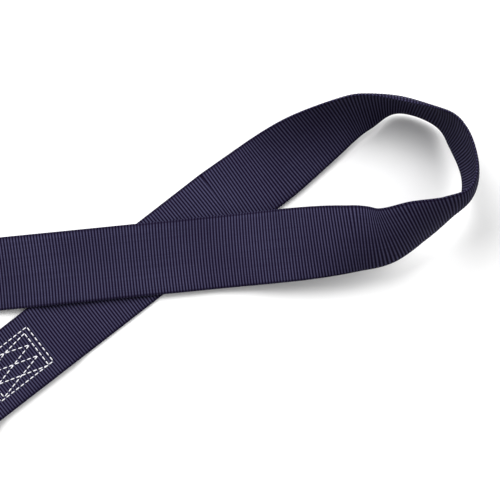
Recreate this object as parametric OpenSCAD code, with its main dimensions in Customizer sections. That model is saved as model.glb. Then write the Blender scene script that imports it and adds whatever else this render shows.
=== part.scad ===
// Gait belt: one length of ribbed polyester webbing, laid out in a crossed loop on a table.
// The sewn end holds a steel buckle, and the long free end is folded back and forth in a keeper.
// Origin: the middle of the flat underside where the belt crosses itself. +Z up, +X along the belt.

/* [Webbing] */
// Width of the webbing
web_w = 50.8; // [38:0.1:60]
// Thickness of the webbing
web_t = 2; // [1.6:0.1:2.2]
// Heading of the lower leg, in degrees from +X
lower_heading = 37.8; // [30:0.1:45]
// Heading of the upper leg, in degrees from +X
upper_heading = 5.7; // [0:0.1:12]

/* [Sewn end] */
// Distance from the crossing to the end bar, along the lower leg
bar_distance = 168; // [160:1:190]
// Distance from the crossing to the edge of the turned-back layer
tab_distance = 89.5; // [86:0.5:92]
// Length of the box of stitches
box_len = 46; // [44:1:54]
// Width of the box of stitches
box_w = 31; // [24:1:38]
// Width of one line of thread
thread_w = 0.8; // [0.5:0.1:1]

/* [Folded tail] */
// Distance from the crossing to the near end of the folded tail
fold_near = 126; // [120:1:140]
// Length of one fold
fold_len = 138; // [120:1:150]
// Height of one folded layer
layer_h = 3; // [2.6:0.1:3.2]
// Distance from the crossing to the middle of the keeper
keeper_at = 190; // [165:1:215]
// Width of the keeper, along the belt
keeper_w = 22; // [12:1:30]

/* [Buckle] */
// Radius of the end bar
bar_r = 2.5; // [2:0.1:2.6]
// Clearance between the end bar and the webbing round it
bar_gap = 0.4; // [0.3:0.1:0.5]
// Thickness of the buckle's steel
steel_t = 2.2; // [1.8:0.1:2.4]
// Clearance between the webbing's edge and the buckle's cheek
cheek_gap = 1.1; // [0.8:0.1:1.5]
// Radius of the cam's pin
pin_r = 2; // [1.6:0.1:2.2]
// Running clearance of the cam on its pin
pin_gap = 0.06; // [0.03:0.01:0.1]
// Distance from the end bar to the cam's pin
cam_reach = 20; // [19:0.5:22]
// Height of the cam's pin above the end bar
cam_rise = 5.5; // [5:0.1:6]
// Distance from the end bar to the front bar
front_reach = 44; // [42:0.5:50]
// Number of teeth on the cam
teeth = 13; // [7:1:15]

/* [Hidden] */
$fn = 48;

half_w = web_w / 2;
half_t = web_t / 2;
eye_r = bar_r + bar_gap;                 // inside of the webbing's eye round the end bar
bar_z = web_t + eye_r;                   // the end bar's height above the table
box_near = tab_distance + 7.1;           // crossing to the box's near row
box_far = box_near + box_len;
run_join = 72;                           // crossing to the joint of sewn end and lower run
loop_start = 63;                         // crossing to the loop's first section
loop_end = 43;                           // crossing to the loop's last section
over_z = half_t + web_t + 1.6;           // middle of the upper leg where it passes over
hank_z = 1.8;                            // underside of the folded tail, clear of the keeper
layers = 5;
hank_top = hank_z + (layers - 1) * layer_h;
hank_far = fold_near + fold_len;
tip_len = 16;
tip_t = 0.8;                             // sheet thickness of the metal tip
keeper_t = 1.2;
label_w = 20;
label_len = 19;                          // short enough that the keeper slides past it
label_t = 0.5;
cheek_in = half_w + cheek_gap;
cheek_out = cheek_in + steel_t;
cheek_r = bar_z - 0.2;                   // half height of a cheek, just clear of the table

// Inner rows of the box, two across it and the rest slanting. A point is its distance past the
// near row and its place to the left of the middle.
box_lattice = [
    [[4, 12.5], [4, -15.5]],
    [[42.5, 15], [42.5, -14]],
    [[3.5, 12.5], [23.5, 10], [40, 5]],
    [[6, 4], [23.5, 10], [42, 15]],
    [[6, 4], [40, -4.5]],
    [[6, -5.5], [40, 5]],
    [[6, -5.5], [42, -14]],
    [[4, -15.5], [40, -4.5]]
];

navy = [0.17, 0.16, 0.29];
nickel = [0.75, 0.76, 0.78];

// Loop sections: [x, y, lift, roll, bow]. Lift is how far the lower edge is off the table, roll
// lifts the outer edge about the direction of travel, and bow is the angle of the arc that the
// width bends through. The last sections lie on the upper leg's own line.
loop_route = [
    [loop_start * cos(lower_heading), loop_start * sin(lower_heading), 0, 0, 0],
    [78, 58, 1, 8, 10],
    [105, 77, 1, 29, 32],
    [132, 93, 1, 52, 56],
    [150, 100, 1, 66, 66],
    [171, 103, 1, 87, 52],
    [196, 96, 3, 87, 26],
    [209, 82, 7, 83, 20],
    [216, 61, 11, 88, 36],
    [213, 44, 14, 96, 45],
    [200, 34, 16, 109, 45],
    [180, 25, 17, 127, 50],
    [160, 16, 18, 142, 48],
    [140, 14, 18, 154, 38],
    [120, 12, 17, 165, 24],
    [100 * cos(upper_heading), 100 * sin(upper_heading), 14, 173, 10],
    [80 * cos(upper_heading), 80 * sin(upper_heading), 10, 178, 3],
    [63 * cos(upper_heading), 63 * sin(upper_heading), 6, 180, 0],
    [loop_end * cos(upper_heading), loop_end * sin(upper_heading), over_z - half_t, 180, 0]
];
turn_station = 7;                        // section where the loop turns back, and its two nodes meet
ring_steps = 4;                          // sections between two route points
width_steps = 6;                         // facets across the webbing

function smooth(t) = let (c = max(0, min(1, t))) c * c * (3 - 2 * c);
function unit(v) = v / norm(v);
function pick(list, i) = list[max(0, min(len(list) - 1, i))];
// Catmull-Rom spline through the list, at span i and fraction t
function spline(list, i, t) =
    let (a = pick(list, i - 1), b = list[i], c = pick(list, i + 1), d = pick(list, i + 2))
    0.5 * (2 * b + (c - a) * t + (2 * a - 5 * b + 4 * c - d) * t * t
           + (3 * b - a - 3 * c + d) * t * t * t);
function spline_way(list, i, t) =
    let (a = pick(list, i - 1), b = list[i], c = pick(list, i + 1), d = pick(list, i + 2))
    0.5 * ((c - a) + 2 * (2 * a - 5 * b + 4 * c - d) * t
           + 3 * (3 * b - a - 3 * c + d) * t * t);

// One point of a section: the width bends through an arc whose two edges keep their place
function section_point(mid, along, across, bow, u, side) =
    let (face = cross(along, across),
         arc = max(bow, 0.5),
         r = web_w / (arc * PI / 180),
         a = arc * u / 2,
         reach = r - side * half_t)
    mid + across * (reach * sin(a)) + face * (r * cos(arc / 2) - reach * cos(a));

// The same route with the lift made the height of the strap's middle
loop_stations = [for (p = loop_route) [p[0], p[1], half_t + p[2] + half_w * sin(p[3]), p[3], p[4]]];

function section(i, t) =
    let (p = spline(loop_stations, i, t),
         w = spline_way(loop_stations, i, t),
         level = i == 0 && t == 0 ? [cos(lower_heading), sin(lower_heading), 0]
               : i == len(loop_stations) - 2 && t == 1 ? [-cos(upper_heading), -sin(upper_heading), 0]
               : unit([w[0], w[1], w[2]]),
         left = unit(cross([0, 0, 1], level)),
         up = cross(level, left),
         across = left * cos(p[3]) + up * sin(p[3]),
         mid = [p[0], p[1], p[2]])
    concat(
        [for (k = [0:width_steps])
            section_point(mid, level, across, p[4], 2 * k / width_steps - 1, 1)],
        [for (k = [width_steps:-1:0])
            section_point(mid, level, across, p[4], 2 * k / width_steps - 1, -1)]);

// Side profile of a strap on edge: a line of [distance, height] with the webbing's thickness
module strap_profile(line) {
    polygon(concat([for (p = line) [p[0], p[1] - half_t]],
                   [for (k = [len(line) - 1:-1:0]) [line[k][0], line[k][1] + half_t]]));
}

function ramp(from, to, low, high, steps) =
    [for (k = [0:steps]) [from + (to - from) * k / steps, low + (high - low) * smooth(k / steps)]];

module across_web(width = web_w) {
    rotate([90, 0, 0]) linear_extrude(width, center = true) children();
}

module lower_leg() { rotate([0, 0, lower_heading]) children(); }
module upper_leg() { rotate([0, 0, upper_heading]) children(); }
// The buckle's own frame: centred on the end bar, +X away from the belt
module at_bar() {
    lower_leg() translate([-bar_distance, 0, bar_z]) rotate([0, 0, 180]) children();
}

module webbing_sewn_end() color(navy) lower_leg() across_web() {
    difference() {
        translate([-bar_distance, bar_z]) circle(eye_r + web_t);
        translate([-bar_distance, bar_z]) circle(eye_r);
        translate([-bar_distance, -1]) square([40, 40]);
    }
    translate([-bar_distance, 0]) square([bar_distance - tab_distance, web_t]);
    strap_profile(concat(
        ramp(-bar_distance, -box_far - 1, bar_z + eye_r + half_t, web_t + half_t, 8),
        ramp(-tab_distance - 1, -run_join, web_t + half_t, half_t, 6)));
}

module webbing_lower_run() color(navy) lower_leg() across_web()
    strap_profile([[-run_join, half_t], [loop_start, half_t]]);

// The strap from one route point to another, as one closed skin
module loop_stretch(first, end) {
    rings = concat([for (i = [first:end - 1]) for (k = [0:ring_steps - 1]) section(i, k / ring_steps)],
                   [end == len(loop_stations) - 1 ? section(end - 1, 1) : section(end, 0)]);
    n = len(rings[0]);
    last = (len(rings) - 1) * n;
    color(navy) polyhedron(
        points = [for (ring = rings) for (p = ring) p],
        faces = concat(
            [for (r = [0:len(rings) - 2]) for (k = [0:n - 1]) let (m = (k + 1) % n)
                each [[r * n + k, (r + 1) * n + k, (r + 1) * n + m],
                      [r * n + k, (r + 1) * n + m, r * n + m]]],
            [for (k = [0:width_steps - 1])
                each [[k, k + 1, n - 1 - k], [k + 1, n - 2 - k, n - 1 - k]]],
            [for (k = [0:width_steps - 1])
                each [[last + k + 1, last + k, last + n - 1 - k],
                      [last + n - 2 - k, last + k + 1, last + n - 1 - k]]]));
}

module webbing_loop_rise() loop_stretch(0, turn_station);
module webbing_loop_return() loop_stretch(turn_station, len(loop_stations) - 1);

module webbing_upper_run() color(navy) upper_leg() across_web()
    strap_profile(concat(
        ramp(-fold_near + 4, -98, hank_z + half_t, 5.2, 5),
        ramp(-86, -46, 5.2, over_z, 4),
        [[loop_end, over_z]]));

module webbing_folded_tail() color(navy) upper_leg() across_web() {
    r = layer_h;
    translate([-fold_near, hank_z]) square([4, web_t]);
    // four folded layers with round bends at both ends
    difference() {
        union() {
            translate([-hank_far + r, hank_z]) square([fold_len - 2 * r, 4 * layer_h]);
            translate([-hank_far, hank_z + r]) square([fold_len, 4 * layer_h - 2 * r]);
            for (x = [-hank_far + r, -fold_near - r], z = [hank_z + r, hank_top - r])
                translate([x, z]) circle(r);
        }
        translate([-fold_near - 2 * r, hank_z - 1]) square([2 * r + 1, 1]);
    }
    translate([-fold_near - r, hank_z]) square([r, web_t]);
    // the top layer, which ends inside the metal tip
    translate([-hank_far + tip_t + 0.1, hank_top]) square([fold_len - r - 3, web_t]);
}

line_w = 0.1;                            // width of a row before it is widened to the thread

// The middle of one straight row of thread, between two points of the lower leg
module thread_line(from, to) {
    way = to - from;
    translate(from) rotate(atan2(way[1], way[0])) translate([0, -line_w / 2]) square([norm(way), line_w]);
}

// The cross-stitched box: a row across each end, two sides, and the inner rows
module stitch_lines(h) {
    linear_extrude(h) offset(delta = (thread_w - line_w) / 2) {
        for (side = [-1, 1])
            thread_line([-box_far, side * box_w / 2], [-box_near, side * box_w / 2]);
        for (x = [-box_far, -box_near]) thread_line([x, -box_w / 2], [x, box_w / 2]);
        for (row = box_lattice, k = [0:len(row) - 2])
            thread_line([-box_near - row[k][0], row[k][1]], [-box_near - row[k + 1][0], row[k + 1][1]]);
    }
}

module needle_thread() color("white") lower_leg() translate([0, 0, 2 * web_t]) stitch_lines(0.3);
module bobbin_thread() color("white") lower_leg() stitch_lines(0.25);

module care_label() color("white") lower_leg()
    translate([-box_far - 8, half_w, web_t - 0.6]) cube([label_w, label_len, label_t]);

module tail_tip() color(nickel) upper_leg() {
    outer = web_w + 2 * tip_t + 0.2;
    h = web_t + tip_t;
    difference() {
        union() {
            translate([-hank_far + 2, -outer / 2, hank_top]) cube([tip_len - 2, outer, h]);
            translate([-hank_far, -outer / 2 + 2, hank_top]) cube([2, outer - 4, h]);
            for (side = [-1, 1])
                translate([-hank_far + 2, side * (outer / 2 - 2), hank_top]) cylinder(h = h, r = 2);
        }
        translate([-hank_far + tip_t, -half_w - 0.1, hank_top - 1])
            cube([tip_len, web_w + 0.2, web_t + 1.05]);
    }
}

module tip_rivets() color(nickel) upper_leg()
    for (side = [-1, 1])
        translate([-hank_far + tip_len / 2, side * 15, hank_top + web_t - 0.6]) {
            cylinder(h = tip_t + 0.9, r = 1.6);
            translate([0, 0, tip_t + 0.6]) cylinder(h = 0.6, r1 = 2.6, r2 = 1.8);
        }

module round_rect(w, h, r) {
    translate([-w / 2 + r, 0]) square([w - 2 * r, h]);
    translate([-w / 2, r]) square([w, h - 2 * r]);
    for (x = [-w / 2 + r, w / 2 - r], y = [r, h - r]) translate([x, y]) circle(r);
}

keeper_in_w = web_w + 2 * tip_t + 1;
keeper_in_h = hank_top + web_t + 0.5 - keeper_t;

module keeper_loop() color(navy) upper_leg() translate([-keeper_at, 0, 0])
    rotate([90, 0, 90]) linear_extrude(keeper_w, center = true) difference() {
        round_rect(keeper_in_w + 2 * keeper_t, keeper_in_h + 2 * keeper_t, 2);
        translate([0, keeper_t]) round_rect(keeper_in_w, keeper_in_h, 0.8);
    }

module keeper_stitch() color("white") upper_leg()
    translate([-keeper_at, 8, keeper_in_h + 2 * keeper_t])
        for (y = [-3, 3]) translate([-keeper_w / 2 + 2, y, 0]) cube([keeper_w - 4, thread_w, 0.3]);

module cheek_shape() {
    difference() {
        union() {
            circle(cheek_r);
            translate([0, -cheek_r]) square([front_reach, 2 * cheek_r]);
            translate([front_reach, 0]) circle(cheek_r);
            translate([cam_reach, cam_rise]) circle(5.2);
            translate([cam_reach - 5.2, 0]) square([10.4, cam_rise]);
        }
        circle(bar_r);
        translate([front_reach, 0]) circle(pin_r);
        translate([cam_reach, cam_rise]) circle(pin_r);
    }
}

module buckle_frame() color(nickel) at_bar() {
    for (side = [-1, 1])
        translate([0, side * (cheek_in + steel_t / 2), 0]) across_web(steel_t) cheek_shape();
    // the anvil plate that the teeth press the webbing on
    translate([11, -cheek_in, -cheek_r]) cube([19, 2 * cheek_in, steel_t]);
}

module riveted_bar(r) {
    rotate([90, 0, 0]) {
        cylinder(h = 2 * cheek_out, r = r, center = true);
        for (side = [-1, 1])
            translate([0, 0, side * (cheek_out + 0.5)]) cylinder(h = 1, r = r + 1, center = true);
    }
}

module end_bar() color(nickel) at_bar() riveted_bar(bar_r);
module front_bar() color(nickel) at_bar() translate([front_reach, 0, 0]) riveted_bar(pin_r);
module cam_pin() color(nickel) at_bar() translate([cam_reach, 0, cam_rise]) riveted_bar(pin_r);

module toothed_cam() color(nickel) at_bar() translate([cam_reach, 0, cam_rise]) {
    cam_half = cheek_in - 0.7;
    pitch = 2 * (cam_half - 1) / teeth;
    difference() {
        union() {
            rotate([90, 0, 0]) cylinder(h = 2 * cam_half, r = 4.4, center = true);
            // the thumb lever, a flat plate that slopes to a turned-up lip
            translate([0, -20, 2.2]) cube([17, 40, 2.2]);
            translate([15.5, -20, 2.2]) cube([2.2, 40, 5]);
            // the comb that the teeth are cut on
            translate([-1.6, -cam_half, -5.6]) cube([3.2, 2 * cam_half, 3]);
        }
        rotate([90, 0, 0]) cylinder(h = 3 * cam_half, r = pin_r + pin_gap, center = true);
    }
    for (k = [0:teeth - 1])
        translate([-1.6, -cam_half + 1 + (k + 0.5) * pitch, -5.6])
            rotate([90, 0, 90]) linear_extrude(3.2)
                polygon([[-pitch * 0.42, 0.2], [0, -1.6], [pitch * 0.42, 0.2]]);
}

webbing_sewn_end();
webbing_lower_run();
webbing_loop_rise();
webbing_loop_return();
webbing_upper_run();
webbing_folded_tail();
needle_thread();
bobbin_thread();
care_label();
tail_tip();
tip_rivets();
keeper_loop();
keeper_stitch();
buckle_frame();
end_bar();
front_bar();
toothed_cam();
cam_pin();
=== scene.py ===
# %% [markdown]
# # A gait belt of ribbed webbing
# A gait belt is one long strap of heavy webbing with a toothed steel buckle. A carer holds it while helping
# somebody to walk. Here it lies on a table in a crossed loop, and its spare length is folded in a keeper.
# The steel parts and the layout come from the CAD frame. The webbing, the thread and every finish are made here.

# %% Load the frame
import math

import bpy
import numpy as np
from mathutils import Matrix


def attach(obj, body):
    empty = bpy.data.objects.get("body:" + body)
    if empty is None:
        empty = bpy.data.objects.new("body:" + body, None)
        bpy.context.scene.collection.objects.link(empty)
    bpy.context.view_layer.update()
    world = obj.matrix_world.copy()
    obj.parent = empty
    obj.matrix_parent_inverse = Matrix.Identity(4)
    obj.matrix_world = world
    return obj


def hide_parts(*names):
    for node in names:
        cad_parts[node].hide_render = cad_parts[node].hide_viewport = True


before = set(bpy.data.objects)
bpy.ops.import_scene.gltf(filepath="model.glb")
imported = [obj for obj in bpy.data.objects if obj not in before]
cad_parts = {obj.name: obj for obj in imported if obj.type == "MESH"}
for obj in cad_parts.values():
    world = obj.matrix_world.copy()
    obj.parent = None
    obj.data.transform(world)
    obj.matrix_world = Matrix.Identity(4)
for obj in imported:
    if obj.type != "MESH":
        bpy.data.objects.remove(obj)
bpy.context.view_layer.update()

# %% [markdown]
# ## The camera
# The belt lies flat, so the camera looks straight down at it. A long lens keeps both legs of the loop almost the
# same width. The lens follows from how much of the table is in view at the camera's height.

# %% Camera
CAMERA_AT = (0.070, 0.0063, 0.80)
TABLE_IN_VIEW = 0.35
SENSOR = 36.0  # millimetres, as Blender gives it

camera_data = bpy.data.cameras.new("camera")
camera_data.sensor_width = SENSOR
camera_data.lens = SENSOR * CAMERA_AT[2] / TABLE_IN_VIEW
camera = bpy.data.objects.new("camera", camera_data)
camera.location = CAMERA_AT
bpy.context.collection.objects.link(camera)
bpy.context.scene.camera = camera
print("lens:", round(camera_data.lens, 1), "mm")

# %% [markdown]
# ## The table and the light
# A pale floor stands for the table. Three large area lights from different sides give a soft light with one
# brighter side. That side light is what shows ribs: a light from straight above would leave them flat.

# %% Floor and lights
FLOOR_HALF = 3.0
FLOOR_Z = -0.0006  # just below the thread on the belt's underside

floor_mesh = bpy.data.meshes.new("floor")
corners = np.array([[-1, -1, 0], [1, -1, 0], [1, 1, 0], [-1, 1, 0]]) * FLOOR_HALF
corners[:, 2] = FLOOR_Z
floor_mesh.from_pydata(corners.tolist(), [], [[0, 1, 2, 3]])
floor = bpy.data.objects.new("floor", floor_mesh)
bpy.context.collection.objects.link(floor)

WORLD_LIGHT = 0.40
world = bpy.data.worlds.new("studio")
world.use_nodes = True
world.node_tree.nodes["Background"].inputs["Color"].default_value = (1, 1, 1, 1)
world.node_tree.nodes["Background"].inputs["Strength"].default_value = WORLD_LIGHT
bpy.context.scene.world = world
bpy.context.scene.view_settings.view_transform = "Standard"


def area_light(name, place, target, size, power):
    """A square lamp at place, turned so that its face looks at target."""
    lamp = bpy.data.lights.new(name, "AREA")
    lamp.size = size
    lamp.energy = power
    light = bpy.data.objects.new(name, lamp)
    light.location = place
    aim = np.subtract(target, place)
    flat = math.hypot(aim[0], aim[1])
    light.rotation_euler = (math.atan2(flat, -aim[2]), 0, math.atan2(-aim[0], aim[1]))
    bpy.context.collection.objects.link(light)
    return light


BELT_MIDDLE = (0.05, 0.0, 0.02)
area_light("key", (-0.50, 0.75, 0.95), BELT_MIDDLE, 0.9, 23)
area_light("fill", (0.75, 0.60, 1.10), BELT_MIDDLE, 1.0, 9)
area_light("front", (-0.2, -1.0, 1.1), BELT_MIDDLE, 0.9, 1.5)
print("lights:", len(bpy.data.lights))

# %% [markdown]
# ## Pieces from arrays
# Every new piece is a grid of points worked out as whole numpy arrays. One helper puts such points and their
# faces into a mesh, with a UV map in metres, so that a weave keeps its real size wherever the strap turns.

# %% From arrays to a piece
UV_NAME = "cloth"


def add_piece(name, points, faces, uv):
    """One smooth piece from points (n, 3), faces and uv (n, 2): each face corner takes its own point's uv."""
    mesh = bpy.data.meshes.new(name)
    mesh.from_pydata(points.tolist(), [], faces)
    corner_point = np.empty(len(mesh.loops), np.int32)
    mesh.loops.foreach_get("vertex_index", corner_point)
    layer = mesh.uv_layers.new(name=UV_NAME)
    layer.data.foreach_set("uv", uv[corner_point].astype(np.float32).ravel())
    mesh.polygons.foreach_set("use_smooth", np.ones(len(mesh.polygons), bool))
    mesh.update()
    piece = bpy.data.objects.new(name, mesh)
    bpy.context.collection.objects.link(piece)
    return piece


print("UV map of every new piece:", UV_NAME)

# %% [markdown]
# ## The webbing's cross section
# Gait belt webbing is 2 in wide and 2 mm thick. Thick weft cords lie across it, and the warp yarns that pass over
# them leave round ribs, about 12 to the inch. The section is a ring of points: flat faces and rounded selvedges.
# It could be one flat grid with a Solidify modifier, but a ring gives each rib its own height on both faces.

# %% Section of the webbing
WEB_W = 0.0508
WEB_T = 0.002
RIB_PITCH = 0.0021
RIB_HEIGHT = 0.00026
ROWS_PER_RIB = 6
ACROSS = 11  # points across one face, without the two at its rounded corners

face_v = np.concatenate([[-0.988], np.linspace(-0.95, 0.95, ACROSS), [0.988]])
face_side = np.concatenate([[0.66], np.ones(ACROSS), [0.66]])
RING_V = np.concatenate([face_v, [1.0], face_v[::-1], [-1.0]])
RING_SIDE = np.concatenate([face_side, [0.0], -face_side[::-1], [0.0]])
RING = len(RING_V)
TOP = len(face_v)
print("points in a ring:", RING)


def ring_faces(rows):
    """Quads between each ring and the next, then a cap at each end that joins its two faces."""
    start = np.arange(rows - 1)[:, None] * RING
    here = np.arange(RING)[None]
    beside = (here + 1) % RING
    sides = np.stack([start + here, start + RING + here, start + RING + beside, start + beside], -1)
    k = np.arange(TOP - 1)
    cap = np.stack([k, k + 1, 2 * TOP - 1 - k, 2 * TOP - k], 1)
    selvedges = [[TOP - 1, TOP, TOP + 1], [RING - 2, RING - 1, 0]]
    last = (rows - 1) * RING
    near = cap.tolist() + selvedges
    far = [[last + p for p in face[::-1]] for face in near]
    return sides.reshape(-1, 4).tolist() + near + far


# %% [markdown]
# ## A strap along any path
# A strap needs three things at each row: its middle, the way it runs, and the direction across it. The face
# direction is their cross product. The width may also bend, as webbing does when it is twisted: then the row is
# an arc. This one function makes every stretch of webbing, the keeper and the label.

# %% Strap
FLATTEST_ARC = 0.5  # degrees, so that a flat strap's arc still has a radius
RIB_SHAPE = 0.75  # below 1 makes the ribs rounder and the valleys narrower
DRIFT = 0.0007  # how far a rib strays from straight across


def weave_run(run):
    """Length along the weave at each point: a real weft cord bows and leans a little, so to the plain length
    it adds DRIFT x (v^2 - 1/3) sin(run / 37 mm) and half of DRIFT x v sin(run / 51 mm)."""
    bowed = (RING_V**2 - 1 / 3) * np.sin(run / 0.037)[:, None]
    leaning = RING_V * np.sin(run / 0.051)[:, None] / 2
    return run[:, None] + DRIFT * (bowed + leaning)


def strap(name, path, run, width=WEB_W, thick=WEB_T, rib=RIB_HEIGHT, pitch=RIB_PITCH):
    """A strap along path = (middle, along, across, bow), where run is each row's length from the belt's end.
    The half thickness is its base plus rib height x |sin(pi weave / pitch)| ^ RIB_SHAPE, fading at the selvedge,
    where weave is the length along the weave.
    With radius = width / arc, reach = radius - height and angle = arc v / 2, a point is
    middle + across x reach sin(angle) + face x (radius cos(arc / 2) - reach cos(angle))."""
    middle, along, across, bow = path
    face = np.cross(along, across)
    arc = np.radians(np.maximum(bow, FLATTEST_ARC))[:, None]
    radius = width / arc
    weave = weave_run(run)
    crest = np.abs(np.sin(np.pi * weave / pitch)) ** RIB_SHAPE
    fade = 1 - np.abs(RING_V) ** 30
    half = thick / 2 - rib + rib * crest * fade
    reach = radius - RING_SIDE * half
    angle = arc * RING_V / 2
    points = (middle[:, None] + across[:, None] * (reach * np.sin(angle))[..., None]
              + face[:, None] * (radius * np.cos(arc / 2) - reach * np.cos(angle))[..., None])
    uv = np.stack(np.broadcast_arrays(weave, RING_V * width / 2), -1)
    piece = add_piece(name, points.reshape(-1, 3), ring_faces(len(run)), uv.reshape(-1, 2))
    print(name, "is", round(float(run[-1] - run[0]), 4), "m long with", len(piece.data.polygons), "faces")
    return piece


# %% [markdown]
# ## Straight legs from a side profile
# On the two legs the strap runs in one upright plane, so its path is a side profile: a line of distances and
# heights. The rows have to be equally spaced along the real length, because the ribs are. So the profile is
# drawn finely first, and then read again at equal steps.

# %% Side profiles
LOWER_HEADING = math.radians(37.8)
UPPER_HEADING = math.radians(5.7)
FINE_STEP = 0.0002


def line(start, end):
    """Points [distance, height] from start to end, evenly spaced."""
    count = max(2, int(math.dist(start, end) / FINE_STEP))
    return np.linspace(start, end, count)


def slope(start, end):
    """A gentle rise from start to end: the height follows 3 t^2 - 2 t^3."""
    flat = line(start, end)
    t = np.linspace(0, 1, len(flat))
    flat[:, 1] = start[1] + (end[1] - start[1]) * t * t * (3 - 2 * t)
    return flat


def half_turn(centre, radius, way):
    """Half a circle from below the centre to above it, round its way side: -1 is away from the loop."""
    t = np.linspace(0, math.pi, 60)
    return np.stack([centre[0] + way * radius * np.sin(t), centre[1] - radius * np.cos(t)], 1)


def lengths(points):
    """The length along a line of points up to each one."""
    return np.concatenate([[0], np.cumsum(np.linalg.norm(np.diff(points, axis=0), axis=1))])


def leg_path(profile, heading, start, pitch=RIB_PITCH):
    """A path in the upright plane of a leg. Rows are pitch / ROWS_PER_RIB apart, to the nearest whole row."""
    profile = np.concatenate(profile)
    so_far = lengths(profile)
    rows = max(2, round(so_far[-1] / pitch * ROWS_PER_RIB))
    run = np.linspace(0, so_far[-1], rows + 1)
    d = np.interp(run, so_far, profile[:, 0])
    z = np.interp(run, so_far, profile[:, 1])
    middle = np.stack([d * math.cos(heading), d * math.sin(heading), z], 1)
    along = np.gradient(middle, axis=0)
    along /= np.linalg.norm(along, axis=1)[:, None]
    across = np.tile([-math.sin(heading), math.cos(heading), 0.0], (len(run), 1))
    return (middle, along, across, np.zeros(len(run))), run + start


print("rows are", round(RIB_PITCH / ROWS_PER_RIB * 1000, 2), "mm apart")

# %% [markdown]
# ## The sewn end
# The belt's end goes round the buckle's end bar and lies back under itself, and a box of stitches holds the two
# layers together. The strap is laid in the order in which a sewer would: from the cut edge, out to the bar,
# round it, and back over the top towards the loop.

# %% Sewn end
HALF_T = WEB_T / 2
BAR_AT = -0.168  # along the lower leg from where the belt crosses itself
BAR_Z = 0.0049
EYE_R = 0.0029 + HALF_T
TAB_AT = -0.0895
BOX_NEAR = TAB_AT - 0.0071
BOX_FAR = BOX_NEAR - 0.046
RUN_JOIN = -0.072
SECOND_Z = WEB_T + HALF_T
LOOP_START = 0.063

sewn_path, sewn_run = leg_path([
    line((TAB_AT, HALF_T), (BAR_AT, HALF_T)),
    half_turn((BAR_AT, BAR_Z), EYE_R, -1),
    slope((BAR_AT, BAR_Z + EYE_R), (BOX_FAR - 0.001, SECOND_Z)),
    line((BOX_FAR - 0.001, SECOND_Z), (TAB_AT - 0.001, SECOND_Z)),
    slope((TAB_AT - 0.001, SECOND_Z), (RUN_JOIN, HALF_T))], LOWER_HEADING, 0.0)
sewn_end = strap("sewn_end_webbing", sewn_path, sewn_run)
lower_path, lower_run_at = leg_path(
    [line((RUN_JOIN, HALF_T), (LOOP_START, HALF_T))], LOWER_HEADING, sewn_run[-1])
lower_run = strap("lower_leg_webbing", lower_path, lower_run_at)

# %% [markdown]
# ## The twisted loop
# Past the crossing the strap stands up on its lower edge, turns back on itself, and comes down with its other
# face up: half a twist. Its route is a short list of sections, the same list as in the CAD source. Each gives a
# place, how far the lower edge is off the table, the roll about the way it runs, and the bend of its width. A
# Catmull-Rom spline joins them, because it passes through every section.

# %% Loop
OVER_Z = 0.0046
LOOP_END = 0.043
MM = 0.001
# x, y and lift in millimetres, roll and bow in degrees
LOOP_ROUTE = [
    [LOOP_START / MM * math.cos(LOWER_HEADING), LOOP_START / MM * math.sin(LOWER_HEADING), 0, 0, 0],
    [78, 58, 1, 8, 10], [105, 77, 1, 29, 32], [132, 93, 1, 52, 56], [150, 100, 1, 66, 66],
    [171, 103, 1, 87, 52], [196, 96, 3, 87, 26], [209, 82, 7, 83, 20], [216, 61, 11, 88, 36],
    [213, 44, 14, 96, 45], [200, 34, 16, 109, 45], [180, 25, 17, 127, 50], [160, 16, 18, 142, 48],
    [140, 14, 18, 154, 38], [120, 12, 17, 165, 24],
    [100 * math.cos(UPPER_HEADING), 100 * math.sin(UPPER_HEADING), 14, 173, 10],
    [80 * math.cos(UPPER_HEADING), 80 * math.sin(UPPER_HEADING), 10, 178, 3],
    [63 * math.cos(UPPER_HEADING), 63 * math.sin(UPPER_HEADING), 6, 180, 0],
    [LOOP_END / MM * math.cos(UPPER_HEADING), LOOP_END / MM * math.sin(UPPER_HEADING),
     (OVER_Z - HALF_T) / MM, 180, 0]]
FINE_PER_SPAN = 80


def spline(points, u):
    """Catmull-Rom through points: the place at u, a whole number at each point, and its rate of change."""
    i = np.clip(u.astype(int), 0, len(points) - 2)
    t = (u - i)[:, None]
    a, b = points[np.maximum(i - 1, 0)], points[i]
    c, d = points[i + 1], points[np.minimum(i + 2, len(points) - 1)]
    place = 0.5 * (2 * b + (c - a) * t + (2 * a - 5 * b + 4 * c - d) * t**2 + (3 * b - a - 3 * c + d) * t**3)
    rate = 0.5 * ((c - a) + 2 * (2 * a - 5 * b + 4 * c - d) * t + 3 * (3 * b - a - 3 * c + d) * t**2)
    return place, rate


def loop_rows(u):
    """The loop's path at u. A section's middle is half its width x sin(roll) above its lower edge."""
    stations = np.array(LOOP_ROUTE, float)
    stations[:, :3] *= MM
    stations[:, 2] += HALF_T + WEB_W / 2 * np.sin(np.radians(stations[:, 3]))
    place, rate = spline(stations, u)
    along = rate[:, :3] / np.linalg.norm(rate[:, :3], axis=1)[:, None]
    along[0] = (math.cos(LOWER_HEADING), math.sin(LOWER_HEADING), 0)
    along[-1] = (-math.cos(UPPER_HEADING), -math.sin(UPPER_HEADING), 0)
    left = np.cross([0.0, 0.0, 1.0], along)
    left /= np.linalg.norm(left, axis=1)[:, None]
    up = np.cross(along, left)
    roll = np.radians(place[:, 3])[:, None]
    return place[:, :3], along, left * np.cos(roll) + up * np.sin(roll), place[:, 4]


def middle_thread(path):
    """The line of the strap's middle yarn, which bulges off the section's chord where the width is bent."""
    middle, along, across, bow = path
    arc = np.radians(np.maximum(bow, FLATTEST_ARC))
    bulge = WEB_W / arc * (np.cos(arc / 2) - 1)
    return middle + np.cross(along, across) * bulge[:, None]


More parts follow.
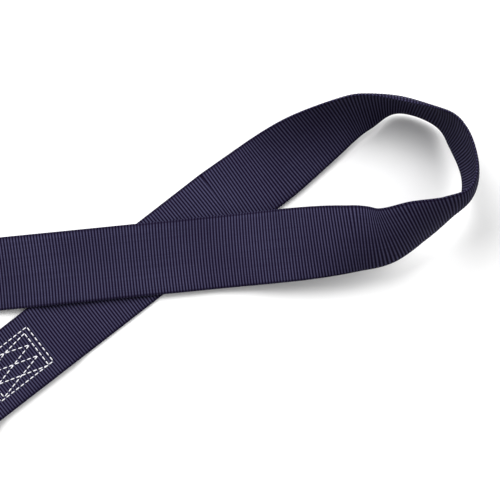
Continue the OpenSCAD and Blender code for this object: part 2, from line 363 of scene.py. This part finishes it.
fine_u = np.linspace(0, len(LOOP_ROUTE) - 1, FINE_PER_SPAN * (len(LOOP_ROUTE) - 1) + 1)
fine_length = lengths(middle_thread(loop_rows(fine_u)))
loop_count = round(fine_length[-1] / RIB_PITCH * ROWS_PER_RIB)
even_length = np.linspace(0, fine_length[-1], loop_count + 1)
loop_run = lower_run_at[-1] + even_length
loop = strap("loop_webbing", loop_rows(np.interp(even_length, fine_length, fine_u)), loop_run)

# %% [markdown]
# ## The upper leg and the folded tail
# The strap passes over its own lower leg and runs on to the spare length, which is folded into five layers as a
# carer stores it. Webbing this stiff can't be creased, so every fold is a round bend, and no two folds end at
# quite the same place.

# %% Upper leg and tail
HANK_Z = 0.0018
LAYER_H = 0.003
FOLD_NEAR = -0.126
FOLD_FAR = -0.264
REST_Z = 0.0052
TIP_END = FOLD_FAR + 0.0009
BEND_R = LAYER_H / 2
FOLD_SLACK = [0.0, 0.0006, 0.0016, 0.0003]  # how far each fold stops short, from the bottom up
layer_z = HANK_Z + HALF_T + LAYER_H * np.arange(5)

upper_path, upper_run_at = leg_path([
    line((LOOP_END, OVER_Z), (-0.046, OVER_Z)),
    slope((-0.046, OVER_Z), (-0.086, REST_Z)),
    line((-0.086, REST_Z), (-0.098, REST_Z)),
    slope((-0.098, REST_Z), (FOLD_NEAR + 0.004, layer_z[0]))], UPPER_HEADING, loop_run[-1])
upper_run = strap("upper_leg_webbing", upper_path, upper_run_at)

tail_profile = []
here = (FOLD_NEAR + 0.004, layer_z[0])
for fold, slack in enumerate(FOLD_SLACK):
    away = fold % 2 == 0
    edge = FOLD_FAR + HALF_T + BEND_R + slack if away else FOLD_NEAR - HALF_T - BEND_R - slack
    tail_profile += [line(here, (edge, layer_z[fold])),
                     half_turn((edge, layer_z[fold] + BEND_R), BEND_R, -1 if away else 1)]
    here = (edge, layer_z[fold + 1])
tail_profile.append(line(here, (TIP_END, layer_z[4])))
tail_path, tail_run = leg_path(tail_profile, UPPER_HEADING, upper_run_at[-1])
tail = strap("folded_tail_webbing", tail_path, tail_run)
print("whole strap:", round(float(tail_run[-1]), 3), "m")

# %% [markdown]
# ## The keeper and the label
# A keeper is a band of narrower webbing round the folds, and it slides along them. The label is a blank strip of
# thin satin, sewn in between the two layers at the buckle's end. Both are straps too, only thinner and finer.

# %% Keeper and label
KEEPER_AT = -0.190
KEEPER_W = 0.022
KEEPER_T = 0.0012
KEEPER_PITCH = 0.0014
TIP_T = 0.0008
keeper_half = (WEB_W + 2 * TIP_T + 0.001 + KEEPER_T) / 2
keeper_low = KEEPER_T / 2
keeper_high = layer_z[4] + HALF_T + 0.0005 + KEEPER_T / 2
CORNER_R = 0.0016


def corner(centre, start):
    """A quarter circle round centre, from the angle start in quarter turns."""
    t = math.pi / 2 * (start + np.linspace(0, 1, 16))
    return np.stack([centre[0] + CORNER_R * np.cos(t), centre[1] + CORNER_R * np.sin(t)], 1)


inner_y, low_z, high_z = keeper_half - CORNER_R, keeper_low + CORNER_R, keeper_high - CORNER_R
band = np.concatenate([
    line((0.0, keeper_low), (inner_y, keeper_low)), corner((inner_y, low_z), -1),
    line((keeper_half, low_z), (keeper_half, high_z)), corner((inner_y, high_z), 0),
    line((inner_y, keeper_high), (-inner_y, keeper_high)), corner((-inner_y, high_z), 1),
    line((-keeper_half, high_z), (-keeper_half, low_z)), corner((-inner_y, low_z), 2),
    line((-inner_y, keeper_low), (0.0, keeper_low))])


def cross_path(outline, heading, at, pitch):
    """A path in the plane that stands across a leg: outline gives its distance to the left and its height."""
    so_far = lengths(outline)
    run = np.linspace(0, so_far[-1], round(so_far[-1] / pitch * ROWS_PER_RIB) + 1)
    y = np.interp(run, so_far, outline[:, 0])
    z = np.interp(run, so_far, outline[:, 1])
    ahead = np.array([math.cos(heading), math.sin(heading), 0.0])
    left = np.array([-math.sin(heading), math.cos(heading), 0.0])
    middle = ahead * at + left * y[:, None] + np.array([0, 0, 1.0]) * z[:, None]
    along = np.gradient(middle, axis=0)
    along /= np.linalg.norm(along, axis=1)[:, None]
    return (middle, along, np.tile(ahead, (len(run), 1)), np.zeros(len(run))), run


keeper_path, keeper_run = cross_path(band, UPPER_HEADING, KEEPER_AT, KEEPER_PITCH)
keeper = strap("keeper_band", keeper_path, keeper_run, KEEPER_W, KEEPER_T, 0.00016, KEEPER_PITCH)

LABEL_AT = BOX_FAR + 0.002
LABEL_W = 0.020
LABEL_T = 0.0004
LABEL_LEN = 0.0186  # what shows past the selvedge
LABEL_PITCH = 0.003  # only sets how close its rows are: satin has no ribs
label_line = slope((WEB_W / 2 - 0.0006, 0.00185), (WEB_W / 2 + LABEL_LEN, LABEL_T / 2 + 0.0004))
label_line[:, 1] += 0.0003 * np.sin(np.linspace(0, 3 * math.pi, len(label_line)))
label_path, label_run = cross_path(label_line, LOWER_HEADING, LABEL_AT, LABEL_PITCH)
label = strap("blank_care_label", label_path, label_run, LABEL_W, LABEL_T, 0.0, LABEL_PITCH)

# %% [markdown]
# ## Stitches
# A sewn seam is a row of separate stitches that dip into the cloth at both ends. One stitch is a small capsule
# of 36 faces, and numpy copies it to every place along a seam. The box has two rows across each end, two
# sides, and a lattice of slanting rows between them.

# %% Stitches
STITCH_PITCH = 0.0042
STITCH_LEN = 0.0031
THREAD_R = 0.00042
STITCH_DIP = 0.00022
SIDES = 6
STITCH_T = np.array([-0.88, -0.5, 0.0, 0.5, 0.88])
stitch_faces = [[r * SIDES + k, r * SIDES + (k + 1) % SIDES, (r + 1) * SIDES + (k + 1) % SIDES,
                 (r + 1) * SIDES + k] for r in range(len(STITCH_T) - 1) for k in range(SIDES)]
NEAR_END = len(STITCH_T) * SIDES
last_ring = NEAR_END - SIDES
stitch_faces += [[NEAR_END, (k + 1) % SIDES, k] for k in range(SIDES)]
stitch_faces += [[NEAR_END + 1, last_ring + k, last_ring + (k + 1) % SIDES] for k in range(SIDES)]


def seam_places(seam, pitch):
    """Middle and direction of each stitch along a bent line, in whole stitches to each straight part."""
    seam = np.array(seam)
    spans = np.diff(seam, axis=0)
    counts = np.maximum(1, np.round(np.linalg.norm(spans, axis=1) / pitch).astype(int))
    part = np.repeat(np.arange(len(spans)), counts)
    t = np.concatenate([(np.arange(n) + 0.5) / n for n in counts])[:, None]
    way = spans / np.linalg.norm(spans, axis=1)[:, None]
    return seam[part] + spans[part] * t, way[part]


def stitches(name, seams, heading, height, up=1, pitch=STITCH_PITCH, length=STITCH_LEN):
    """Capsules along seams: at t along it, a stitch's radius is that of the thread x (1 - t^4)^0.5,
    and its middle dips by t^2 x STITCH_DIP. The capsule is placed and turned for all stitches at once."""
    places = [seam_places(seam, pitch) for seam in seams]
    middle = np.concatenate([p[0] for p in places])
    way = np.concatenate([p[1] for p in places])
    turn = 2 * math.pi * np.arange(SIDES) / SIDES
    radius = THREAD_R * np.sqrt(1 - STITCH_T**4)
    along = np.append(np.repeat(STITCH_T, SIDES), [-1, 1]) * length / 2
    beside = np.append(np.outer(radius, np.cos(turn)), [0, 0])
    above = np.append(np.outer(radius, np.sin(turn)), [0, 0]) * 0.8 - STITCH_DIP * (along / length * 2) ** 2 * up
    ahead = np.array([math.cos(heading), math.sin(heading), 0.0])
    left = np.array([-math.sin(heading), math.cos(heading), 0.0])
    way3 = way[:, :1] * ahead + way[:, 1:] * left
    side3 = np.cross([0.0, 0.0, 1.0], way3)
    centre = middle[:, :1] * ahead + middle[:, 1:] * left + np.array([0, 0, height])
    points = (centre[:, None] + way3[:, None] * along[:, None] + side3[:, None] * beside[:, None]
              + np.array([0, 0, 1.0]) * above[:, None])
    one = len(along)
    faces = [[n * one + p for p in face] for n in range(len(centre)) for face in stitch_faces]
    around = np.append(np.tile(turn * THREAD_R, len(STITCH_T)), [0, 0])
    uv = np.tile(np.stack([along, around], 1), (len(centre), 1))
    print(name, "has", len(centre), "stitches")
    return add_piece(name, points.reshape(-1, 3), faces, uv)


print("faces in one stitch:", len(stitch_faces))

# %% [markdown]
# ## The box of stitches
# The box's rows are in millimetres along the lower leg and to its left. Its outline follows from its size, and
# the rows inside it are measured from its near row. The thread shows on the upper side and again on the
# underside, as it does in any lockstitch.

# %% Box of stitches
BOX_HALF = 15.1
near, far = BOX_NEAR / MM, BOX_FAR / MM
BOX_OUTLINE = [
    [[near, BOX_HALF], [near, -BOX_HALF]],
    [[far, BOX_HALF], [far, -BOX_HALF]],
    [[near, BOX_HALF], [far, BOX_HALF]],
    [[near, -BOX_HALF], [far, -BOX_HALF]]]
# each point: distance past the near row, then place to the left of the middle, as in the CAD source
BOX_LATTICE = [
    [[4, 12.5], [4, -15.5]], [[42.5, 15], [42.5, -14]], [[3.5, 12.5], [23.5, 10], [40, 5]],
    [[6, 4], [23.5, 10], [42, 15]], [[6, 4], [40, -4.5]], [[6, -5.5], [40, 5]],
    [[6, -5.5], [42, -14]], [[4, -15.5], [40, -4.5]]]
BOX_ROWS = BOX_OUTLINE + [[[near - past, left] for past, left in row] for row in BOX_LATTICE]
box_seams = [[[a * MM, v * MM] for a, v in row] for row in BOX_ROWS]
needle = stitches("box_stitches_above", box_seams, LOWER_HEADING, 2 * WEB_T + 0.0001)
bobbin = stitches("box_stitches_below", box_seams, LOWER_HEADING, 0.00005, up=-1)
tack_seams = [[[KEEPER_AT + side * 0.009, 0.005], [KEEPER_AT + side * 0.009, 0.0125]] for side in (-1, 1)]
tack_seams += [[[KEEPER_AT - 0.009, y], [KEEPER_AT + 0.009, y]] for y in (0.005, 0.0125)]
tack = stitches("keeper_bar_tack", tack_seams, UPPER_HEADING, keeper_high + KEEPER_T / 2 + 0.0001,
                pitch=0.0018, length=0.0016)

# %% [markdown]
# ## Which body each piece belongs to
# The buckle swings on the end bar, the cam turns in the buckle, and the keeper slides on the folds. The webbing
# itself can't flex in this model, so all of it rides on the belt. Each cloth piece also says the size it was
# cut to, which is the strap's width and the length of that stretch.

# %% Bodies, replaced solids and cut sizes
CLOTH = [
    (sewn_end, "belt", ("webbing_sewn_end",), "webbing", WEB_W, sewn_run, "folded", ["end_bar", "floor"]),
    (lower_run, "belt", ("webbing_lower_run",), "webbing", WEB_W, lower_run_at, "laid", ["floor"]),
    (loop, "belt", ("webbing_loop_rise", "webbing_loop_return"), "webbing", WEB_W, loop_run, "laid", ["floor"]),
    (upper_run, "belt", ("webbing_upper_run",), "webbing", WEB_W, upper_run_at, "laid", ["lower_leg_webbing"]),
    (tail, "belt", ("webbing_folded_tail",), "webbing", WEB_W, tail_run, "folded", ["keeper_band"]),
    (keeper, "keeper", ("keeper_loop",), "keeper", KEEPER_W, keeper_run, "folded", ["folded_tail_webbing"]),
    (label, "belt", ("care_label",), "label", LABEL_W, label_run, "laid", ["floor"])]
for piece, body, nodes, slot, width, run, held, rests_on in CLOTH:
    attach(piece, body)
    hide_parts(*nodes)
    cut = (width, float(run[-1] - run[0]))
    print(piece.name, "cut size:", [round(c, 4) for c in cut])
for piece, body, node in [(needle, "belt", "needle_thread"), (bobbin, "belt", "bobbin_thread"),
                          (tack, "keeper", "keeper_stitch")]:
    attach(piece, body)
    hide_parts(node)

# %% [markdown]
# ## Shader sums as ordinary expressions
# A pattern such as a rib is a sum on the UV map. Blender does such sums with one Math node per operation, which
# is slow to read. This small class wraps a socket, so that a + b adds the node and gives the new socket back.

# %% Fields and finishes
class Field:
    """A number that varies over a surface. Sums on it add Math nodes to its finish."""

    def __init__(self, finish, socket):
        self.finish = finish
        self.socket = socket

    def math(self, operation, *others):
        """One Math node, with this field in its first socket and the others after it."""
        inputs = dict(enumerate((self,) + others))
        return self.finish.node("ShaderNodeMath", {"operation": operation}, inputs)

    def __add__(self, other):
        return self.math("ADD", other)

    def __mul__(self, other):
        return self.math("MULTIPLY", other)

    def __sub__(self, other):
        return self.math("SUBTRACT", other)

    def __rsub__(self, other):
        return self.finish.node("ShaderNodeMath", {"operation": "SUBTRACT"}, {0: other, 1: self})

    def __pow__(self, other):
        return self.math("POWER", other)

    __radd__ = __add__
    __rmul__ = __mul__


class Finish:
    """One material. constants are set on the shader's own sockets, and node() adds any other node."""

    def __init__(self, name, constants):
        self.material = bpy.data.materials.new(name)
        self.material.use_nodes = True
        self.nodes = self.material.node_tree.nodes
        self.links = self.material.node_tree.links
        self.shader = self.nodes["Principled BSDF"]
        for socket, value in constants.items():
            self.shader.inputs[socket].default_value = value

    def node(self, kind, settings, inputs, output=0):
        """Adds a node, sets it up, fills its sockets, and gives back the chosen output as a field."""
        made = self.nodes.new(kind)
        for setting, value in settings.items():
            setattr(made, setting, value)
        for socket, value in inputs.items():
            self.put(made.inputs[socket], value)
        return Field(self, made.outputs[output])

    def put(self, socket, value):
        """Links a field to a socket, or sets the socket to a plain value."""
        if isinstance(value, Field):
            self.links.new(value.socket, socket)
        else:
            socket.default_value = value

    def cloth_uv(self):
        """Length along the strap and place across it, in metres, as two fields and one vector."""
        uv = self.node("ShaderNodeUVMap", {"uv_map": UV_NAME}, {})
        parts = [self.node("ShaderNodeSeparateXYZ", {}, {0: uv}, output=k) for k in (0, 1)]
        return parts[0], parts[1], uv

    def stretched(self, vector, scale):
        """The vector with each axis scaled by its own amount."""
        return self.node("ShaderNodeVectorMath", {"operation": "MULTIPLY"}, {0: vector, 1: scale})

    def noise(self, vector, scale, detail=3.0):
        """Smooth random patches between 0 and 1, about 1 / scale across."""
        return self.node("ShaderNodeTexNoise", {}, {"Vector": vector, "Scale": scale, "Detail": detail})

    def smooth(self, value, low, high):
        """0 below low, 1 above high and an S-curve between."""
        return self.node("ShaderNodeMapRange", {"interpolation_type": "SMOOTHSTEP"},
                         {"Value": value, "From Min": low, "From Max": high})

    def mix(self, mask, dark, light):
        """Goes from the dark colour to the light one as mask goes from 0 to 1."""
        return self.node("ShaderNodeMix", {"data_type": "RGBA"}, {0: mask, 6: dark, 7: light}, output=2)

    def bump(self, height, strength, distance):
        """Tilts the light as if the surface rose by distance where height is 1."""
        return self.node("ShaderNodeBump", {},
                         {"Height": height, "Strength": strength, "Distance": distance})


def paint(piece, finish):
    """Gives a piece its finish in place of any other."""
    piece.data.materials.clear()
    piece.data.materials.append(finish.material)


print("a Field knows: + - x ** and every other Math node by name")

# %% [markdown]
# ## The webbing's finish
# Navy polyester with a purple cast. Each rib's colour carries painted light: a painted highlight on its crest and
# painted shade, almost black, in its valley. The warp yarns that cross it make a row of beads, which shift by
# half a bead on the next rib because the weave is plain.
# The selvedge has a darker line. The ribs are real geometry, so only the yarns go into the bump.

# %% Webbing and keeper finish
def webbing_finish(name, width, pitch, yarn, painted_valley_shade, crest):
    """Ribs are |sin(pi run / pitch)|, and yarns are (1 + cos(2 pi place / yarn)) / 2, half a yarn on per rib."""
    cloth = Finish(name, {"Specular IOR Level": 0.02})
    run, place, uv = cloth.cloth_uv()
    rib = (run * (math.pi / pitch)).math("SINE").math("ABSOLUTE")
    row = (run * (1 / pitch)).math("FLOOR")
    yarns = (place * (2 * math.pi / yarn) + row * math.pi).math("COSINE") * 0.5 + 0.5
    fibre = cloth.noise(cloth.stretched(uv, (900.0, 2600.0, 1.0)), 1.0)
    patch = cloth.noise(uv, 26.0, 2.0)
    thread_tone = cloth.noise(cloth.stretched(uv, (12.0, 1400.0, 1.0)), 1.0, 1.0)
    # light is a painted highlight on each rib's crest (rib ** 3.4), times the yarns' beads and the cloth's own
    # random tone
    light = (rib ** 3.4) * (yarns * 0.5 + 0.55) * (fibre * 1.0 + 0.5) * (patch * 0.7 + 0.65)
    light = light * (thread_tone * 0.7 + 0.65)
    edge = place.math("ABSOLUTE")
    inside = cloth.smooth(edge, width / 2 - 0.0021, width / 2 - 0.0012)
    outside = cloth.smooth(edge, width / 2 - 0.0007, width / 2)
    selvedge = inside * (1 - outside) * 0.65
    # painted light: the rib valleys take the painted shade colour and the crests take the painted highlight
    # colour
    colour = cloth.mix(light * (1 - selvedge), painted_valley_shade, crest)
    cloth.put(cloth.shader.inputs["Base Color"], colour)
    cloth.put(cloth.shader.inputs["Roughness"], 0.78 - rib * 0.16 + fibre * 0.1)
    cloth.put(cloth.shader.inputs["Normal"], cloth.bump(yarns * 0.7 + fibre * 0.5, 0.5, 0.00016))
    return cloth


# for both webbings the first colour is painted shade for the rib valleys and the second is a painted highlight
# for the rib crests
webbing = webbing_finish("navy_ribbed_webbing", WEB_W, RIB_PITCH, 0.0007,
                         (0.0045, 0.0020, 0.011, 1), (0.063, 0.061, 0.118, 1))
keeper_cloth = webbing_finish("keeper_webbing", KEEPER_W, KEEPER_PITCH, 0.0005,
                              (0.004, 0.003, 0.012, 1), (0.055, 0.051, 0.095, 1))
for piece in (sewn_end, lower_run, loop, upper_run, tail):
    paint(piece, webbing)
paint(keeper, keeper_cloth)
print("webbing nodes:", len(webbing.nodes))

# %% [markdown]
# ## Thread and label
# The thread is white polyester of three plies, so fine slanting lines run round each stitch. The label is woven
# satin: very fine lines along it, a soft shine and no print.

# %% Thread and label finish
thread = Finish("white_thread", {"Specular IOR Level": 0.35, "Sheen Weight": 0.1})
thread_run, thread_round, thread_uv = thread.cloth_uv()
PLY = 0.0006
ply = ((thread_run + thread_round) * (2 * math.pi / PLY)).math("SINE") * 0.5 + 0.5
fuzz = thread.noise(thread.stretched(thread_uv, (3000.0, 3000.0, 1.0)), 1.0)
thread.put(thread.shader.inputs["Base Color"],
           thread.mix(ply * 0.6 + fuzz * 0.4, (0.62, 0.62, 0.66, 1), (0.88, 0.88, 0.90, 1)))
thread.put(thread.shader.inputs["Roughness"], 0.5 + fuzz * 0.2)
thread.put(thread.shader.inputs["Normal"], thread.bump(ply, 0.5, 0.0001))
for piece in (needle, bobbin, tack):
    paint(piece, thread)

satin = Finish("blank_satin", {"Specular IOR Level": 0.5, "Sheen Weight": 0.15, "Sheen Roughness": 0.3})
satin_run, satin_place, satin_uv = satin.cloth_uv()
SATIN_YARN = 0.00035
satin_rows = (satin_place * (2 * math.pi / SATIN_YARN)).math("SINE") * 0.5 + 0.5
slub = satin.noise(satin.stretched(satin_uv, (300.0, 2400.0, 1.0)), 1.0)
hem = satin.smooth(satin_place.math("ABSOLUTE"), LABEL_W / 2 - 0.0012, LABEL_W / 2 - 0.0006)
satin.put(satin.shader.inputs["Base Color"],
          satin.mix((satin_rows * 0.4 + slub * 0.6) * (1 - hem * 0.5), (0.66, 0.66, 0.63, 1),
                    (0.88, 0.88, 0.86, 1)))
satin.put(satin.shader.inputs["Roughness"], 0.34 + slub * 0.2)
satin.put(satin.shader.inputs["Normal"], satin.bump(satin_rows * 0.6 + slub * 0.4, 0.4, 0.00008))
paint(label, satin)
print("thread nodes:", len(thread.nodes), "satin nodes:", len(satin.nodes))

# %% [markdown]
# ## Nickel plate
# The steel parts are stamped, polished and nickel plated. Plate is bright but not a mirror: polishing leaves
# fine lines one way, handling leaves a few scratches and dull patches, and thin plate looks a little warmer.
# The pattern is on Object coordinates, because a CAD node has no UV map of its own.

# %% Nickel finish
def nickel_finish(name, polish, dull):
    """Roughness is polish plus dull patches and fine lines, which are noise stretched along one axis."""
    metal = Finish(name, {"Metallic": 1.0})
    place = metal.node("ShaderNodeTexCoord", {}, {}, output="Object")
    lines = metal.noise(metal.stretched(place, (3500.0, 3500.0, 260.0)), 1.0, 2.0)
    patches = metal.smooth(metal.noise(place, 60.0, 5.0), 0.35, 0.80)
    scratch_noise = metal.noise(metal.stretched(place, (180.0, 1900.0, 900.0)), 1.0, 1.0)
    scratches = metal.smooth(scratch_noise, 0.66, 0.72)
    metal.put(metal.shader.inputs["Base Color"],
              metal.mix(patches * 0.4 + lines * 0.45, (0.56, 0.55, 0.54, 1), (0.30, 0.285, 0.27, 1)))
    metal.put(metal.shader.inputs["Roughness"],
              polish + patches * dull + lines * 0.10 + scratches * 0.14)
    metal.put(metal.shader.inputs["Normal"], metal.bump(lines * 0.5 - scratches * 0.5, 0.18, 0.00005))
    return metal


bright = nickel_finish("bright_nickel", 0.16, 0.08)
worn = nickel_finish("worn_nickel", 0.24, 0.12)
for node, finish in [("end_bar", bright), ("front_bar", bright), ("cam_pin", bright), ("tip_rivets", bright),
                     ("buckle_frame", worn), ("toothed_cam", worn), ("tail_tip", worn)]:
    paint(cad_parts[node], finish)

chalk = Finish("pale_table", {})
table_place = chalk.node("ShaderNodeTexCoord", {}, {}, output="Object")
grain = chalk.noise(table_place, 40.0, 3.0)
chalk.put(chalk.shader.inputs["Base Color"], chalk.mix(grain, (0.90, 0.90, 0.90, 1), (0.93, 0.93, 0.93, 1)))
chalk.put(chalk.shader.inputs["Roughness"], 0.8 + grain * 0.1)
paint(floor, chalk)
print("nickel nodes:", len(bright.nodes))
